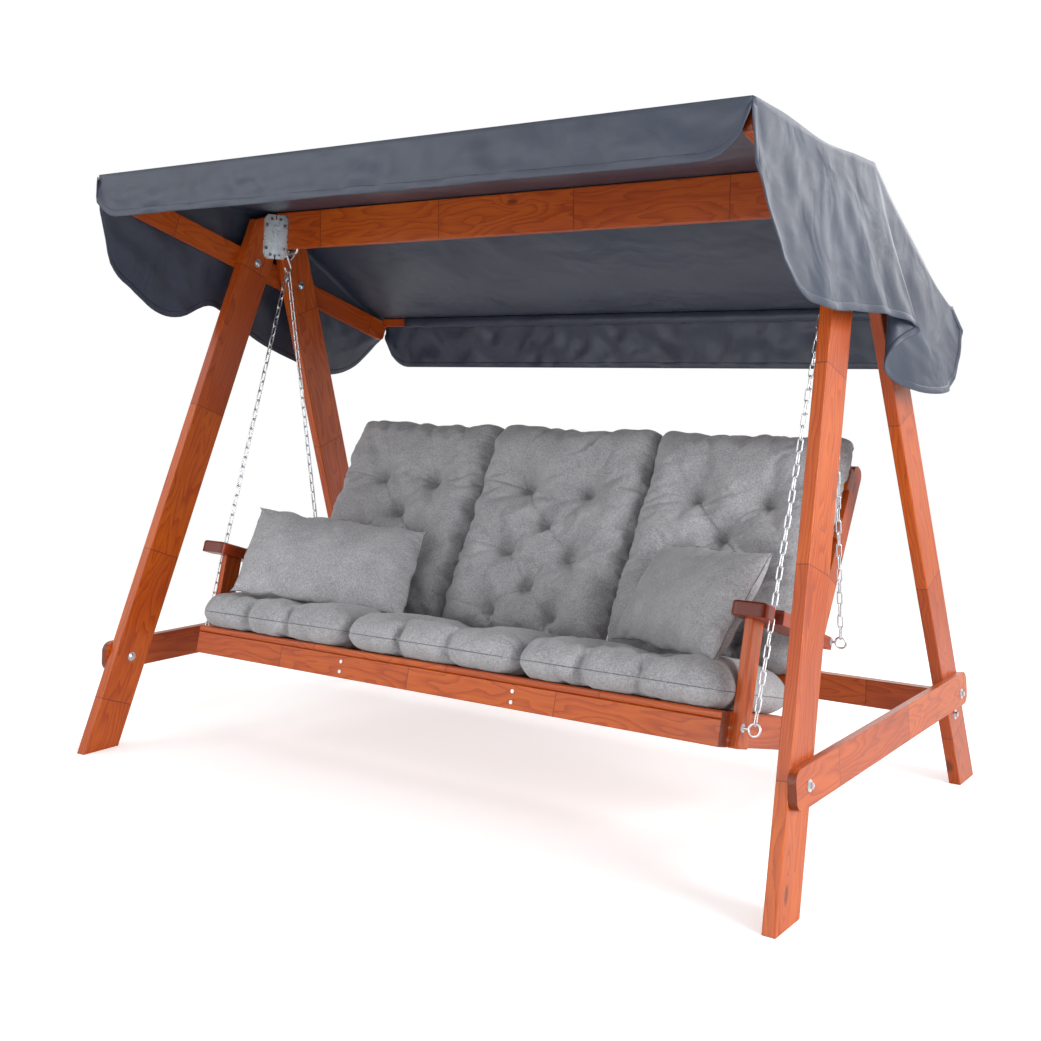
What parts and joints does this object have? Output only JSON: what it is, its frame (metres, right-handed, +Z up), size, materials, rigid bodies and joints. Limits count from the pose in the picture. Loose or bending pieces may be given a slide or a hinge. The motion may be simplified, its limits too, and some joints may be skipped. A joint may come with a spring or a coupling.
{
  "type": "garden swing seat",
  "caption": "Free-standing timber garden swing: two leaning A-frames, a top beam and cloth canopy, and a tilted slatted bench with cushions and pillows hung on chains.",
  "frame": {"origin": "on the ground, midway between the four feet", "axes": "+X along the bench towards the sitter's left-hand side seen from the front as right, +Y from the front of the bench to its back, +Z up"},
  "size_m": [2.2652, 1.4018, 1.6952],
  "materials": {
    "stained_wood": "stained and clear varnished pine, satin gloss",
    "armrest_wood": "darker stained pine, glossy",
    "galvanised_steel": "zinc plated, slightly dull",
    "cushion_fabric": "mid grey melange weave, matte",
    "canopy_fabric": "slate grey polyester cloth, slight sheen"
  },
  "bodies": {
    "frame": {"left_front_leg": "stained_wood", "right_front_leg": "stained_wood", "left_back_leg": "stained_wood", "right_back_leg": "stained_wood", "left_side_brace": "stained_wood", "right_side_brace": "stained_wood", "left_rafter": "stained_wood", "right_rafter": "stained_wood", "top_beam": "stained_wood", "rear_crossbar": "stained_wood", "front_canopy_rail": "stained_wood", "rear_canopy_rail": "stained_wood", "beam_brackets": "galvanised_steel", "bracket_screws": "galvanised_steel", "brace_bolts": "galvanised_steel", "rafter_bolts": "galvanised_steel", "crossbar_bolts": "galvanised_steel", "left_hanger": "galvanised_steel", "right_hanger": "galvanised_steel", "hanger_nuts": "galvanised_steel", "canopy_front_panel": "canopy_fabric", "canopy_rear_panel": "canopy_fabric", "front_valance": "canopy_fabric", "rear_valance": "canopy_fabric", "left_canopy_flap": "canopy_fabric", "right_canopy_flap": "canopy_fabric"},
    "swing": {"back_battens": "stained_wood", "back_slats": "stained_wood", "bench_screws": "galvanised_steel", "eye_bolt_nuts": "galvanised_steel", "front_apron": "stained_wood", "front_eye_bolts": "galvanised_steel", "front_seat_slat": "stained_wood", "left_arm_post": "stained_wood", "left_armrest": "armrest_wood", "left_back_cushion": "cushion_fabric", "left_back_stile": "stained_wood", "left_front_chain": "galvanised_steel", "left_pillow": "cushion_fabric", "left_rear_chain": "galvanised_steel", "left_s_hook": "galvanised_steel", "left_seat_cushion": "cushion_fabric", "left_side_rail": "stained_wood", "middle_back_cushion": "cushion_fabric", "middle_seat_cushion": "cushion_fabric", "rear_eye_bolts": "galvanised_steel", "rear_seat_rail": "stained_wood", "right_arm_post": "stained_wood", "right_armrest": "armrest_wood", "right_back_cushion": "cushion_fabric", "right_back_stile": "stained_wood", "right_front_chain": "galvanised_steel", "right_pillow": "cushion_fabric", "right_rear_chain": "galvanised_steel", "right_s_hook": "galvanised_steel", "right_seat_cushion": "cushion_fabric", "right_side_rail": "stained_wood", "seat_cleats": "stained_wood", "seat_joists": "stained_wood", "seat_slats": "stained_wood"}
  },
  "joints": [
    {"name": "bench_swing", "type": "hinge", "parent": "frame", "child": "swing", "pos_m": [0, 0, 1.524], "axis": [1, 0, 0], "range_deg": [-20, 20]}
  ]
}
